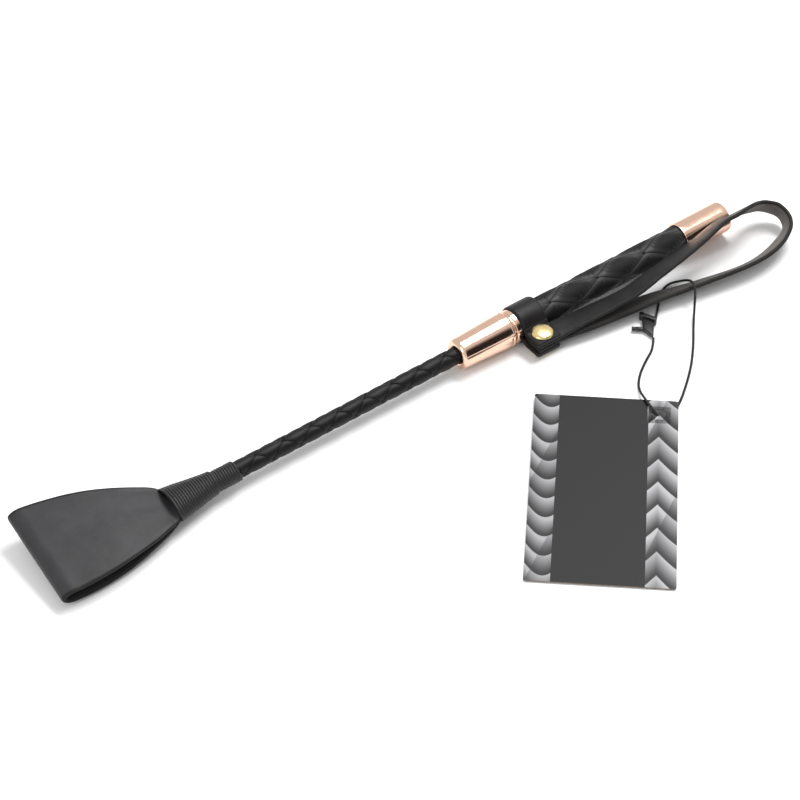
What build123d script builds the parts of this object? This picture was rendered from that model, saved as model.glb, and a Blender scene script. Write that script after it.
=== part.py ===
from build123d import *
import math
import os

# Riding crop with a folded leather keeper, a braided shaft, a braided grip between two polished
# metal caps, a riveted wrist strap and a hang tag on a string. Millimetres.
# The origin is the centre of the pommel's flat end. +X runs out of the pommel along the handle,
# so the keeper lies at -X. +Z is up while the crop lies on a table, and the strap is on the -Y side.

# ---- driving lengths along the crop -------------------------------------------------------------
pommel_length = 22.5
grip_length = 81.0
ferrule_length = 27.0
shaft_length = 97.0
whipping_length = 29.0
keeper_length = 47.8

# ---- height of the table under the handle's axis ------------------------------------------------
axis_height = 7.4

# ---- shaft --------------------------------------------------------------------------------------
core_radius = 1.9
shaft_strip_thickness = 0.66
shaft_strips_each_way = 2
shaft_lead = 24.0

# ---- grip ---------------------------------------------------------------------------------------
grip_core_radius = 4.0
grip_strip_thickness = 0.78
grip_strips_each_way = 3
grip_lead = 69.0

# ---- metal caps ---------------------------------------------------------------------------------
cap_wall = 0.7
pommel_end_wall = 1.3
pommel_edge_radius = 1.1
ferrule_mouth_radius = 6.05
ferrule_bead_radius = 6.95
ferrule_shoulder = 2.4
ferrule_neck_length = 2.2
ferrule_groove_width = 0.5

# ---- leather strap, collar and rivet ------------------------------------------------------------
leather = 1.6
collar_width = 11.0
collar_fillet = 1.4
strap_width = 9.2
tab_reach = 9.6
rivet_cap_radius = 4.3
rivet_cap_height = 1.5
rivet_rim_height = 0.35
rivet_back_height = 1.0
rivet_barrel_radius = 1.7
rivet_post_radius = 1.1

# ---- keeper and its whipping --------------------------------------------------------------------
keeper_leather = 1.4
keeper_neck_width = 14.8
keeper_tip_width = 39.4
keeper_gap = 4.2
keeper_neck_gap = 1.2
keeper_bend_gap = 1.0
keeper_yaw = 7.0
keeper_roll = 9.2
keeper_pitch = -1.1
thread = 1.05
whipping_wide_length = 18.5
whipping_flat_width = 16.2
whipping_flat_height = 10.6
whipping_step_radius = 4.75

# ---- hang tag, string and lock ------------------------------------------------------------------
tag_width = 52.5
tag_height = 90.0
tag_thickness = 0.45
tag_corner_radius = 0.8
tag_hole_radius = 2.4
tag_hole_inset = (7.0, 7.4)
tag_hole_place = (-86.3, -64.2)
tag_turn = -41.3
tag_lift = 0.6
string_diameter = 1.0
lock_corner_radius = 0.7
lock_plate_height = 2.2
lock_rib_height = 3.2
lock_rib_length = 7.4
lock_rib_width = 1.7
lock_peg_radius = 0.9
lock_peg_length = 4.6

# ---- clearances ---------------------------------------------------------------------------------
layer_gap = 0.03
sleeve_gap = 0.05
turning_gap = 0.08
moving_gap = 0.3
leaf_gap = 0.1

# ---- stations along X, from the pommel's end towards the keeper ---------------------------------
x_pommel = -pommel_length
x_neck = x_pommel - grip_length
x_ferrule = x_neck - ferrule_length
x_whipping = x_ferrule - shaft_length
x_step = x_whipping - (whipping_length - whipping_wide_length)
x_whipping_end = x_whipping - whipping_length
# The keeper bends in a short gap beyond the whipping. It is turned aside, so its neck starts
# further out by what its corner swings back.
x_keeper = x_whipping_end - keeper_bend_gap - math.sin(math.radians(keeper_yaw)) * keeper_neck_width / 2

table = -axis_height
grip_end_space = 1.2
core_end = -pommel_end_wall - grip_end_space
core_start = x_whipping_end + 6.5
shaft_braid_start = x_whipping_end + 2.5
grip_core_start = x_ferrule + 8.0
grip_braid_start = x_neck - 8.5

# Radii build outwards from the core, layer by layer.
shaft_inner_layer = core_radius + layer_gap
shaft_outer_layer = shaft_inner_layer + shaft_strip_thickness + layer_gap
shaft_radius = shaft_outer_layer + shaft_strip_thickness
grip_inner_layer = grip_core_radius + layer_gap
grip_outer_layer = grip_inner_layer + grip_strip_thickness + layer_gap
grip_radius = grip_outer_layer + grip_strip_thickness
cap_bore = grip_radius + sleeve_gap
pommel_radius = cap_bore + cap_wall

os.makedirs("parts", exist_ok=True)


def save(part, name):
    part.label = name
    export_step(part, f"parts/{name}.step")


def across(x):
    """The plane square to the handle at x, with its own X along +Y and its own Y along +Z."""
    return Plane(origin=(x, 0, 0), x_dir=(0, 1, 0), z_dir=(1, 0, 0))


# ---- rod and tubes ------------------------------------------------------------------------------
with BuildPart() as core_rod:
    with BuildSketch(across(core_start)):
        Circle(core_radius)
    extrude(amount=core_end - core_start)
save(core_rod.part, "core_rod")

with BuildPart() as grip_core:
    with BuildSketch(across(grip_core_start)):
        Circle(grip_core_radius)
        Circle(core_radius + layer_gap, mode=Mode.SUBTRACT)
    extrude(amount=core_end - grip_core_start)
save(grip_core.part, "grip_core")


# ---- braid strips -------------------------------------------------------------------------------
def braid_strip(x_start, x_end, inner, thickness, lead, strips, phase, left_handed):
    """One flat strip wound about the handle, as wide as its share of the way round."""
    side_gap = 2 * math.degrees(layer_gap / inner)
    sweep_angle = 360 / strips - side_gap
    with BuildPart() as strip:
        with BuildLine() as path:
            Line((x_start, 0, 0), (x_end, 0, 0))
        with BuildLine() as guide:
            Helix(
                pitch=lead,
                height=x_end - x_start,
                radius=3 * inner,
                center=(x_start, 0, 0),
                direction=(1, 0, 0),
                lefthand=left_handed,
            )
        with BuildSketch(across(x_start)):
            with BuildLine():
                outside = CenterArc((0, 0), inner + thickness, phase, sweep_angle)
                inside = CenterArc((0, 0), inner, phase, sweep_angle)
                Line(outside @ 0, inside @ 0)
                Line(outside @ 1, inside @ 1)
            make_face()
        sweep(path=path.wires()[0], binormal=guide.wires()[0])
    return strip.part


def braid(prefix, x_start, x_end, radii, thickness, lead, strips):
    """The strips of both hands. Each hand holds a layer of its own."""
    number = 1
    for inner, left_handed in zip(radii, (True, False)):
        for turn in range(strips):
            phase = turn * 360 / strips
            strip = braid_strip(x_start, x_end, inner, thickness, lead, strips, phase, left_handed)
            save(strip, f"{prefix}_{number}")
            number += 1


braid(
    "shaft_strip",
    shaft_braid_start,
    grip_core_start - moving_gap,
    (shaft_inner_layer, shaft_outer_layer),
    shaft_strip_thickness,
    shaft_lead,
    shaft_strips_each_way,
)
braid(
    "grip_strip",
    grip_braid_start,
    core_end,
    (grip_inner_layer, grip_outer_layer),
    grip_strip_thickness,
    grip_lead,
    grip_strips_each_way,
)

# ---- ferrule: rounded mouth, slow taper, bead, groove and neck ring -----------------------------
x_bead = x_neck - ferrule_neck_length - ferrule_groove_width
bead_width = 1.6
groove_radius = cap_bore + 0.75 * cap_wall
neck_radius = cap_bore + 1.1 * cap_wall
with BuildPart() as ferrule:
    with BuildSketch(Plane.XZ):
        with BuildLine():
            mouth = Line(
                (x_ferrule, shaft_radius + sleeve_gap),
                (x_ferrule, ferrule_mouth_radius - ferrule_shoulder * 0.75),
            )
            shoulder = ThreePointArc(
                mouth @ 1,
                (x_ferrule + ferrule_shoulder * 0.27, ferrule_mouth_radius - ferrule_shoulder * 0.2),
                (x_ferrule + ferrule_shoulder, ferrule_mouth_radius),
            )
            taper = Line(shoulder @ 1, (x_bead - bead_width, ferrule_bead_radius))
            bead = ThreePointArc(
                taper @ 1,
                (x_bead - bead_width * 0.35, ferrule_bead_radius - 0.08),
                (x_bead, groove_radius),
            )
            groove = Line(bead @ 1, (x_bead + ferrule_groove_width, groove_radius))
            ring_foot = Line(groove @ 1, (x_bead + ferrule_groove_width, neck_radius))
            neck_ring = Line(ring_foot @ 1, (x_neck, neck_radius))
            end_face = Line(neck_ring @ 1, (x_neck, cap_bore))
            braid_bore = Line(end_face @ 1, (grip_braid_start - sleeve_gap, cap_bore))
            braid_step = Line(braid_bore @ 1, (grip_braid_start - sleeve_gap, grip_core_radius + sleeve_gap))
            core_bore = Line(braid_step @ 1, (grip_core_start - sleeve_gap, grip_core_radius + sleeve_gap))
            core_step = Line(core_bore @ 1, (grip_core_start - sleeve_gap, shaft_radius + sleeve_gap))
            Line(core_step @ 1, mouth @ 0)
        make_face()
    revolve(axis=Axis.X)
save(ferrule.part, "ferrule")

# ---- pommel cap ---------------------------------------------------------------------------------
with BuildPart() as pommel_cap:
    with BuildSketch(across(x_pommel)):
        Circle(pommel_radius)
    extrude(amount=pommel_length)
    end_edge = pommel_cap.faces().sort_by(Axis.X)[-1].edges()
    fillet(end_edge, pommel_edge_radius)
    with BuildSketch(across(x_pommel)):
        Circle(cap_bore)
    extrude(amount=pommel_length - pommel_end_wall, mode=Mode.SUBTRACT)
save(pommel_cap.part, "pommel_cap")

# ---- collar: a leather band round the grip, its ends pinched into a tab on the -Y side ----------
collar_bore = grip_radius + turning_gap
collar_radius = collar_bore + leather
x_collar = x_neck + leaf_gap
x_rivet = x_collar + collar_width / 2
strap_side_gap = moving_gap
y_rivet = -(grip_radius + strap_side_gap + strap_width / 2)
tab_end = -(grip_radius + tab_reach)
# The four leaves of the tab, from the top: collar, strap, strap, collar.
tab_top = 1.4
strap_top = tab_top - leather - leaf_gap
strap_low = strap_top - 2 * leather - leaf_gap
tab_bottom = strap_low - leather - leaf_gap
with BuildPart() as strap_collar:
    with BuildSketch(across(x_collar)):
        Circle(collar_radius)
        with Locations((tab_end / 2, (tab_top + tab_bottom) / 2)):
            Rectangle(-tab_end, tab_top - tab_bottom)
        fillet(vertices().filter_by(lambda v: abs(v.X * v.X + v.Y * v.Y - collar_radius**2) < 1e-3
                                    and v.X < 0), collar_fillet)
        Circle(collar_bore, mode=Mode.SUBTRACT)
        with Locations(((tab_end - 1) / 2, (strap_top + leaf_gap + strap_low - leaf_gap) / 2)):
            Rectangle(-tab_end + 1, strap_top - strap_low + 2 * leaf_gap, mode=Mode.SUBTRACT)
    extrude(amount=collar_width)
    with BuildSketch(Plane.XY.offset(tab_bottom - 1)):
        with Locations((x_rivet, y_rivet)):
            Circle(rivet_barrel_radius + sleeve_gap)
    extrude(amount=tab_top - tab_bottom + 2, mode=Mode.SUBTRACT)
    # The rivet's two heads are pressed into the bend of the band.
    with BuildSketch(Plane.XY.offset(tab_top)):
        with Locations((x_rivet, y_rivet)):
            Circle(rivet_cap_radius + sleeve_gap)
    extrude(amount=collar_radius, mode=Mode.SUBTRACT)
    with BuildSketch(Plane.XY.offset(tab_bottom)):
        with Locations((x_rivet, y_rivet)):
            Circle(rivet_cap_radius + sleeve_gap)
    extrude(amount=-collar_radius, mode=Mode.SUBTRACT)
save(strap_collar.part, "strap_collar")

# ---- double-cap rivet: a domed cap on a barrel, and a back cap on the post inside it -----------
# The dome is part of a sphere, so its arc is centred on the rivet's axis.
dome_rise = rivet_cap_height - rivet_rim_height
dome_sphere = (rivet_cap_radius**2 + dome_rise**2) / (2 * dome_rise)
dome_half_angle = math.asin(rivet_cap_radius / dome_sphere) / 2
dome_middle = (
    dome_sphere * math.sin(dome_half_angle),
    tab_top + rivet_cap_height - dome_sphere * (1 - math.cos(dome_half_angle)),
)
with BuildPart() as rivet_cap:
    with BuildSketch(Plane(origin=(x_rivet, y_rivet, 0), x_dir=(1, 0, 0), z_dir=(0, -1, 0))):
        with BuildLine():
            underside = Line((0, tab_top), (rivet_cap_radius, tab_top))
            rim = Line(underside @ 1, (rivet_cap_radius, tab_top + rivet_rim_height))
            dome = ThreePointArc(rim @ 1, dome_middle, (0, tab_top + rivet_cap_height))
            Line(dome @ 1, underside @ 0)
        make_face()
    revolve(axis=Axis((x_rivet, y_rivet, 0), (0, 0, 1)))
    barrel_foot = Plane(origin=(x_rivet, y_rivet, tab_bottom + leaf_gap))
    with BuildSketch(barrel_foot):
        Circle(rivet_barrel_radius)
    extrude(amount=tab_top - tab_bottom - leaf_gap)
    with BuildSketch(barrel_foot):
        Circle(rivet_post_radius + sleeve_gap)
    extrude(amount=tab_top - tab_bottom - leaf_gap, mode=Mode.SUBTRACT)
save(rivet_cap.part, "rivet_cap")

with BuildPart() as rivet_post:
    with BuildSketch(Plane(origin=(x_rivet, y_rivet, tab_bottom - rivet_back_height))):
        Circle(rivet_cap_radius)
    extrude(amount=rivet_back_height)
    fillet(rivet_post.edges().group_by(Axis.Z)[0], 0.5 * rivet_back_height)
    with BuildSketch(Plane(origin=(x_rivet, y_rivet, tab_bottom))):
        Circle(rivet_post_radius)
    extrude(amount=tab_top - tab_bottom - sleeve_gap)
save(rivet_post.part, "rivet_post")

# ---- wrist strap --------------------------------------------------------------------------------
# Each station is the middle of the strap and its lean: how far the strap has rolled about its own
# line. It leaves the rivet flat with the grain up, stands on edge round the far end of the loop
# and comes back flat with the grain down.
z_upper_leaf = strap_top - leather / 2
z_lower_leaf = strap_low + leather / 2
strap_stations = [
    (x_rivet, y_rivet, z_upper_leaf, 0),
    (x_rivet + 8, y_rivet - 0.1, z_upper_leaf, 0),
    (-81, y_rivet - 1.0, z_upper_leaf + 0.7, 8),
    (-60, y_rivet - 3.5, 2.0, 19),
    (-46, y_rivet - 3.0, 4.4, 24),
    (-32, y_rivet - 2.2, 6.3, 31),
    (-22, y_rivet - 1.2, 7.6, 37),
    (-10.5, y_rivet + 0.9, 8.5, 42),
    (-3.5, y_rivet + 1.2, 8.2, 44),
    (3.5, y_rivet + 2.7, 6.5, 49),
    (10.5, y_rivet + 4.2, 3.5, 57),
    (15.6, y_rivet + 3.5, 2.0, 62),
    (19.7, y_rivet - 0.3, 0.5, 73),
    (19.3, y_rivet - 5.5, -0.7, 92),
    (15.8, y_rivet - 9.5, -1.3, 116),
    (10.5, y_rivet - 12.2, -1.8, 129),
    (4.5, y_rivet - 14.1, -2.1, 134),
    (-2.5, y_rivet - 15.0, -2.4, 135),
    (-10, y_rivet - 14.7, -2.7, 136),
    (-18, y_rivet - 13.4, -2.9, 138),
    (-27, y_rivet - 11.6, -3.1, 142),
    (-37, y_rivet - 9.6, -3.2, 147),
    (-48, y_rivet - 7.1, -3.2, 155),
    (-63, y_rivet - 4.9, -3.2, 163),
    (-78, y_rivet - 2.6, z_lower_leaf - 0.3, 171),
    (x_rivet + 8, y_rivet - 0.1, z_lower_leaf, 180),
    (x_rivet, y_rivet, z_lower_leaf, 180),
]


def strap_plane(i):
    """The plane square to the strap at a station, its X across the strap."""
    middle = Vector(*strap_stations[i][:3])
    before = Vector(*strap_stations[max(i - 1, 0)][:3])
    after = Vector(*strap_stations[min(i + 1, len(strap_stations) - 1)][:3])
    heading = (after - before).normalized()
    level = heading.cross(Vector(0, 0, 1)).normalized()
    upright = level.cross(heading)
    lean = math.radians(strap_stations[i][3])
    width = level * math.cos(lean) + upright * math.sin(lean)
    return Plane(origin=middle, x_dir=width, z_dir=heading)


# The strap is lofted out to its far end and back again.
far_station = 13
with BuildPart() as wrist_strap:
    for leg in (range(far_station + 1), range(far_station, len(strap_stations))):
        for i in leg:
            with BuildSketch(strap_plane(i)):
                Rectangle(strap_width, leather)
        loft()
    for z_leaf in (z_upper_leaf, z_lower_leaf):
        with BuildSketch(Plane(origin=(x_rivet, y_rivet, z_leaf - leather / 2))):
            Circle(strap_width / 2)
        extrude(amount=leather)
    with BuildSketch(Plane(origin=(x_rivet, y_rivet, tab_bottom))):
        Circle(rivet_barrel_radius + sleeve_gap)
    extrude(amount=tab_top - tab_bottom, mode=Mode.SUBTRACT)
save(wrist_strap.part, "wrist_strap")

# ---- whipping: wound flat and wide over the keeper's tails, then round on the shaft -------------
def whipping_shell(shrink):
    """The outer form of the whipping, drawn in by shrink."""
    with BuildPart() as shell:
        with BuildSketch(across(x_whipping_end)):
            Ellipse(whipping_flat_width / 2 - shrink, whipping_flat_height / 2 - shrink)
        with BuildSketch(across(x_step)):
            Circle(whipping_step_radius - shrink)
        loft()
    return shell.part


with BuildPart() as whipping:
    add(whipping_shell(0))
    with BuildSketch(across(x_step)):
        Circle(shaft_radius + thread)
    extrude(amount=x_whipping - x_step)
    add(whipping_shell(thread), mode=Mode.SUBTRACT)
    with BuildSketch(across(x_whipping_end - 1)):
        Circle(shaft_radius + layer_gap)
    extrude(amount=whipping_length + 2, mode=Mode.SUBTRACT)
save(whipping.part, "whipping")

tail_length = whipping_wide_length - 3.5
with BuildPart() as keeper_tails:
    add(whipping_shell(thread + layer_gap))
    with BuildSketch(across(x_whipping_end + tail_length)):
        Rectangle(whipping_flat_width, whipping_flat_width)
    extrude(amount=whipping_length, mode=Mode.SUBTRACT)
    with BuildSketch(across(shaft_braid_start - layer_gap)):
        Circle(shaft_radius + layer_gap)
    extrude(amount=whipping_length, mode=Mode.SUBTRACT)
    with BuildSketch(across(x_whipping_end - 1)):
        Rectangle(whipping_flat_width, 2 * layer_gap)
    extrude(amount=whipping_length, mode=Mode.SUBTRACT)
save(keeper_tails.part, "keeper_tails")

# ---- keeper: one leather strip folded at the tip, its two leaves open a little ------------------
yaw = math.radians(keeper_yaw)
pitch = math.radians(keeper_pitch)
roll = math.radians(keeper_roll)
keeper_out = Vector(-math.cos(yaw) * math.cos(pitch), math.sin(yaw), -math.sin(pitch)).normalized()
keeper_level = keeper_out.cross(Vector(0, 0, 1)).normalized()
keeper_up = keeper_level.cross(keeper_out)
keeper_normal = keeper_up * math.cos(roll) + keeper_level * -math.sin(roll)
keeper_plan = Plane(origin=(x_keeper, 0, 0), x_dir=keeper_out, z_dir=keeper_normal)
keeper_side = Plane(origin=(x_keeper, 0, 0), x_dir=keeper_out, z_dir=keeper_out.cross(keeper_normal))


def fold_leaf(grow, side):
    """One leaf of the fold from neck to tip, grown from the leather's middle. side is 1 or -1."""
    neck = keeper_neck_gap / 2 + keeper_leather / 2 + grow
    belly = keeper_gap / 2 + keeper_leather / 2 + grow
    reach = keeper_length - keeper_leather / 2 + grow
    knee = belly * 0.8
    return Spline(
        (0, side * neck),
        (keeper_length * 0.5, side * belly),
        (reach - knee * 0.8, side * knee),
        (reach, 0),
        tangents=[(1, side * 0.1), (0, -side)],
    )


with BuildPart() as keeper_flap:
    with BuildSketch(keeper_side):
        with BuildLine():
            upper_skin = fold_leaf(keeper_leather / 2, 1)
            lower_skin = fold_leaf(keeper_leather / 2, -1)
            upper_lining = fold_leaf(-keeper_leather / 2, 1)
            lower_lining = fold_leaf(-keeper_leather / 2, -1)
            Line(upper_skin @ 0, upper_lining @ 0)
            Line(lower_skin @ 0, lower_lining @ 0)
        make_face()
    extrude(amount=keeper_tip_width, both=True)
    with BuildSketch(keeper_plan.offset(-keeper_tip_width / 2)):
        with BuildLine():
            neck_edge = Line((0, -keeper_neck_width / 2), (0, keeper_neck_width / 2))
            far_side = ThreePointArc(
                neck_edge @ 1,
                (keeper_length * 0.5, 0.43 * keeper_tip_width),
                (keeper_length - 3, keeper_tip_width / 2),
            )
            far_corner = Line(far_side @ 1, (keeper_length + 2, keeper_tip_width / 2))
            tip_edge = Line(far_corner @ 1, (keeper_length + 2, -keeper_tip_width / 2))
            near_corner = Line(tip_edge @ 1, (keeper_length - 3, -keeper_tip_width / 2))
            ThreePointArc(
                near_corner @ 1,
                (keeper_length * 0.5, -0.43 * keeper_tip_width),
                neck_edge @ 0,
            )
        make_face()
    extrude(amount=keeper_tip_width, mode=Mode.INTERSECT)
save(keeper_flap.part, "keeper_flap")

# ---- hang tag -----------------------------------------------------------------------------------
turn = math.radians(tag_turn)
tag_across = Vector(math.cos(turn), math.sin(turn), 0)
tag_down = Vector(math.sin(turn), -math.cos(turn), 0)
lift = math.radians(tag_lift)
tag_normal = (Vector(0, 0, 1) + tag_down * math.sin(lift)).normalized()
string_radius = string_diameter / 2
tag_rest = table + string_diameter + 0.3
tag_plane = Plane(origin=(*tag_hole_place, tag_rest), x_dir=tag_across, z_dir=tag_normal)
with BuildPart() as hang_tag:
    with BuildSketch(tag_plane):
        with Locations((tag_hole_inset[0] - tag_width / 2, tag_hole_inset[1] - tag_height / 2)):
            RectangleRounded(tag_width, tag_height, tag_corner_radius)
        Circle(tag_hole_radius, mode=Mode.SUBTRACT)
    extrude(amount=tag_thickness)
save(hang_tag.part, "hang_tag")

# ---- tag string: a loop through the tag's hole and round the strap's lower leg -----------------
on_table = table + string_radius + 0.05
string_route = [
    (-61.2, -31.8, -6.2),
    (-64.5, -35.5, on_table),
    (-70.5, -38.6, on_table),
    (-77.5, -43.0, on_table),
    (-82.8, -48.4, -6.6),
    (-85.6, -55.0, -4.6),
    (-87.0, -61.4, -4.4),
    (-86.9, -64.6, -6.1),
    (-84.0, -66.6, on_table),
    (-76.0, -63.6, on_table),
    (-68.5, -58.4, on_table),
    (-59.5, -51.3, on_table),
    (-51.5, -43.4, on_table),
    (-44.2, -35.0, -6.4),
    (-40.0, -30.4, -3.6),
    (-37.0, -27.0, 1.4),
    (-34.8, -22.8, 1.6),
    (-33.6, -18.2, -1.8),
    (-33.8, -14.6, -5.0),
    (-36.4, -12.0, -6.6),
    (-41.5, -13.2, on_table),
    (-47.5, -18.6, on_table),
    (-55.0, -25.4, -6.2),
]


def tube_radii(points):
    """The largest arc that each corner's two runs allow."""
    radii = []
    for a, b, c in zip(points, points[1:], points[2:]):
        run_in = Vector(*b) - Vector(*a)
        run_out = Vector(*c) - Vector(*b)
        half_turn = math.radians(run_in.get_angle(run_out)) / 2
        radii.append(0.45 * min(run_in.length, run_out.length) / math.tan(half_turn))
    return radii


with BuildPart() as tag_string:
    with BuildLine() as string_path:
        FilletPolyline(*string_route, radius=tube_radii(string_route))
    string_start = string_path.wires()[0]
    with BuildSketch(Plane(origin=string_start @ 0, z_dir=string_start % 0)):
        Circle(string_radius)
    sweep(path=string_start)
save(tag_string.part, "tag_string")

# ---- string lock: a flat moulded plate with a raised rib, and the peg pressed into its side -----
lock_foot = table + 0.25
lock_corners = [(-57.6, -20.4), (-55.4, -25.5), (-61.2, -31.6), (-61.8, -26.4)]
rib_middle = (
    (lock_corners[0][0] + lock_corners[1][0]) / 2,
    (lock_corners[0][1] + lock_corners[1][1]) / 2,
)
rib_turn = math.degrees(
    math.atan2(lock_corners[1][1] - lock_corners[0][1], lock_corners[1][0] - lock_corners[0][0])
)
with BuildPart() as string_lock:
    with BuildSketch(Plane.XY.offset(lock_foot)):
        with BuildLine():
            Polyline(*lock_corners, close=True)
        make_face()
        fillet(vertices(), lock_corner_radius)
    extrude(amount=lock_plate_height)
    with BuildSketch(Plane.XY.offset(lock_foot)):
        with Locations(Location((*rib_middle, 0), (0, 0, rib_turn))):
            SlotOverall(lock_rib_length, lock_rib_width)
    extrude(amount=lock_rib_height)
    add(tag_string.part, mode=Mode.SUBTRACT)
save(string_lock.part, "string_lock")

peg_start = Vector(-61.2, -26.2, lock_foot + lock_peg_radius + 0.3)
peg_way = Vector(-2.6, 2.2, 0).normalized()
with BuildPart() as lock_peg:
    with BuildSketch(Plane(origin=peg_start, z_dir=peg_way)):
        Circle(lock_peg_radius)
    extrude(amount=lock_peg_length)
    fillet(lock_peg.edges().filter_by(GeomType.CIRCLE), lock_peg_radius * 0.35)
    add(string_lock.part, mode=Mode.SUBTRACT)
save(lock_peg.part, "lock_peg")

print("string radii", [round(r, 1) for r in tube_radii(string_route)])
print("string length", round(string_start.length, 1), "section x length",
      round(string_start.length * math.pi * string_radius**2, 1), "volume",
      round(tag_string.part.volume, 1))
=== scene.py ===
import math

import bpy
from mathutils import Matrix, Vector, noise


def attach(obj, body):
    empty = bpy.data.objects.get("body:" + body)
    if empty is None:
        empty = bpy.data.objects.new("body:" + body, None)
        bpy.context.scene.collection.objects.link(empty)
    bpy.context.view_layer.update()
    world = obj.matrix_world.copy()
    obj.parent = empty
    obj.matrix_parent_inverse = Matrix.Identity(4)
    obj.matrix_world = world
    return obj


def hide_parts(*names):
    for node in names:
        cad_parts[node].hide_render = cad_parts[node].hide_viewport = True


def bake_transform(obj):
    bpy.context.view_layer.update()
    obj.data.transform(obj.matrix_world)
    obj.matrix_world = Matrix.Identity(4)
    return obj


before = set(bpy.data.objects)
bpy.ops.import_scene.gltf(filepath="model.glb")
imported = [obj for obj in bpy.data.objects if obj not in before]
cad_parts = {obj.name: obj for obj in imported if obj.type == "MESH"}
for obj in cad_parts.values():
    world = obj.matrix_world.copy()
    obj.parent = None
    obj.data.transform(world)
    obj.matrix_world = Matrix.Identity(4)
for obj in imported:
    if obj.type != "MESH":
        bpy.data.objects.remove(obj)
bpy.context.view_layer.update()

MM = 0.001


# ---- node materials -----------------------------------------------------------------------------
def new_material(name):
    mat = bpy.data.materials.new(name)
    mat.use_nodes = True
    tree = mat.node_tree
    return mat, tree, tree.nodes["Principled BSDF"]


def node(tree, kind, inputs=None, **settings):
    made = tree.nodes.new(kind)
    for key, value in settings.items():
        setattr(made, key, value)
    for key, value in (inputs or {}).items():
        made.inputs[key].default_value = value
    return made


def object_point(tree, scale=(1, 1, 1), turn=0.0, place=(0, 0, 0)):
    """Object coordinates in millimetres, turned about Z after the place is taken off."""
    coord = node(tree, "ShaderNodeTexCoord")
    shift = node(tree, "ShaderNodeMapping", {"Location": [-p * MM for p in place]})
    turned = node(
        tree,
        "ShaderNodeMapping",
        {"Rotation": (0, 0, -turn), "Scale": [1000 * s for s in scale]},
    )
    tree.links.new(coord.outputs["Object"], shift.inputs["Vector"])
    tree.links.new(shift.outputs["Vector"], turned.inputs["Vector"])
    return turned.outputs["Vector"]


def ramp(tree, factor, low, high, start=0.0, end=1.0):
    """A colour or grey that goes from low to high as factor goes from start to end."""
    made = node(tree, "ShaderNodeMapRange" if not hasattr(low, "__len__") else "ShaderNodeValToRGB")
    if hasattr(low, "__len__"):
        stops = made.color_ramp.elements
        stops[0].position = start
        stops[1].position = end
        stops[0].color = (*low, 1)
        stops[1].color = (*high, 1)
        tree.links.new(factor, made.inputs["Fac"])
        return made.outputs["Color"]
    made.inputs["From Min"].default_value = start
    made.inputs["From Max"].default_value = end
    made.inputs["To Min"].default_value = low
    made.inputs["To Max"].default_value = high
    tree.links.new(factor, made.inputs["Value"])
    return made.outputs["Result"]


def bump(tree, shader, height, strength, distance):
    made = node(tree, "ShaderNodeBump", {"Strength": strength, "Distance": distance * MM})
    tree.links.new(height, made.inputs["Height"])
    old = shader.inputs["Normal"].links
    if old:
        tree.links.new(old[0].from_socket, made.inputs["Normal"])
    tree.links.new(made.outputs["Normal"], shader.inputs["Normal"])


def leather(name, dark, light, rough, grain, depth, crease, specular=0.20):
    """Leather with fine pebbled grain, soft mottling and long shallow creases."""
    mat, tree, shader = new_material(name)
    point = object_point(tree)
    mottle = node(tree, "ShaderNodeTexNoise", {"Scale": 0.16, "Detail": 4.0, "Roughness": 0.6})
    pebble = node(tree, "ShaderNodeTexVoronoi", {"Scale": grain}, feature="DISTANCE_TO_EDGE")
    fibre = node(tree, "ShaderNodeTexNoise", {"Scale": grain * 2.7, "Detail": 3.0, "Roughness": 0.6})
    folds = node(tree, "ShaderNodeTexNoise", {"Scale": 0.35, "Detail": 3.0, "Distortion": 0.6})
    for texture in (mottle, pebble, fibre, folds):
        tree.links.new(point, texture.inputs["Vector"])
    tree.links.new(ramp(tree, mottle.outputs["Fac"], dark, light, 0.32, 0.72), shader.inputs["Base Color"])
    tree.links.new(ramp(tree, fibre.outputs["Fac"], *rough, 0.3, 0.7), shader.inputs["Roughness"])
    bump(tree, shader, ramp(tree, pebble.outputs["Distance"], 0.0, 1.0, 0.0, 0.16), 0.35, depth)
    bump(tree, shader, fibre.outputs["Fac"], 0.35, depth * 0.8)
    bump(tree, shader, folds.outputs["Fac"], 0.5, crease)
    shader.inputs["Specular IOR Level"].default_value = specular
    return mat


def crowned_leather(name, crown, painted_sheen, rough_crown, rough_slope, specular):
    """Braid leather, matt on each cell's crown and satin where the strip bends under the next; the bends
    also get a lighter colour, a painted sheen.
    """
    mat = leather(name, crown, crown, (rough_crown, rough_crown + 0.12), 3.0, 0.035, 0.05, specular)
    tree = mat.node_tree
    shader = tree.nodes["Principled BSDF"]
    mask = node(tree, "ShaderNodeAttribute", attribute_name="crown").outputs["Fac"]
    # The bends take a lighter colour than the crowns: painted sheen where the satin strip catches the
    # light.
    colour = node(tree, "ShaderNodeMix", data_type="RGBA")
    colour.inputs["A"].default_value = (*painted_sheen, 1)
    tree.links.new(shader.inputs["Base Color"].links[0].from_socket, colour.inputs["B"])
    tree.links.new(mask, colour.inputs["Factor"])
    tree.links.new(colour.outputs["Result"], shader.inputs["Base Color"])
    gloss = node(tree, "ShaderNodeMix")
    gloss.inputs["A"].default_value = rough_slope
    tree.links.new(shader.inputs["Roughness"].links[0].from_socket, gloss.inputs["B"])
    tree.links.new(mask, gloss.inputs["Factor"])
    tree.links.new(gloss.outputs["Result"], shader.inputs["Roughness"])
    return mat


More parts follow.
